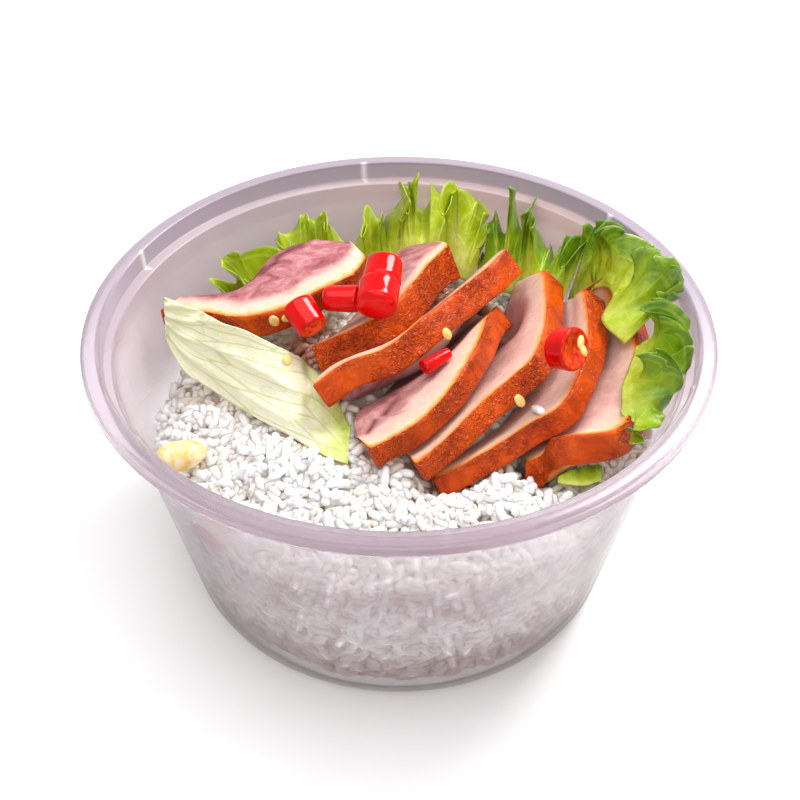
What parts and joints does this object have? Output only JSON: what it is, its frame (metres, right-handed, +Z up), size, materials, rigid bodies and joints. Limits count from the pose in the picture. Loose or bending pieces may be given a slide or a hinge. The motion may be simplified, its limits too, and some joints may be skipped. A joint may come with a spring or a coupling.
{
  "type": "takeaway rice bowl with food",
  "caption": "Round frosted plastic takeaway bowl, open, filled with steamed rice under fanned slices of roast duck, lettuce, cabbage and cut red chilli.",
  "frame": {"origin": "middle of the bowl's underside, on the surface it stands on", "axes": "+Z up along the bowl's axis, -Y towards the side the picture was taken from, +X to its right"},
  "size_m": [0.18, 0.18, 0.1017],
  "materials": {
    "frosted_plastic": "translucent, slightly frosted",
    "rice": "moist satin",
    "roast_meat": "glazed roast skin",
    "cabbage": "moist leaf",
    "lettuce": "fresh leaf",
    "chilli": "glossy skin",
    "garlic": "satin",
    "shallot": "satin"
  },
  "bodies": {
    "root": {"bowl": "frosted_plastic", "rice": "rice", "cabbage_leaf": "cabbage", "garlic_clove": "garlic", "shallot_wedge": "shallot", "meat_slice_1": "roast_meat", "meat_slice_2": "roast_meat", "meat_slice_3": "roast_meat", "meat_slice_4": "roast_meat", "meat_slice_5": "roast_meat", "meat_slice_6": "roast_meat", "meat_slice_7": "roast_meat", "lettuce_left": "lettuce", "lettuce_back": "lettuce", "lettuce_middle": "lettuce", "lettuce_right": "lettuce", "lettuce_front": "lettuce", "lettuce_tip": "lettuce", "chilli_1": "chilli", "chilli_2": "chilli", "chilli_3": "chilli", "chilli_4": "chilli", "chilli_5": "chilli", "chilli_6": "chilli"}
  },
  "joints": []
}
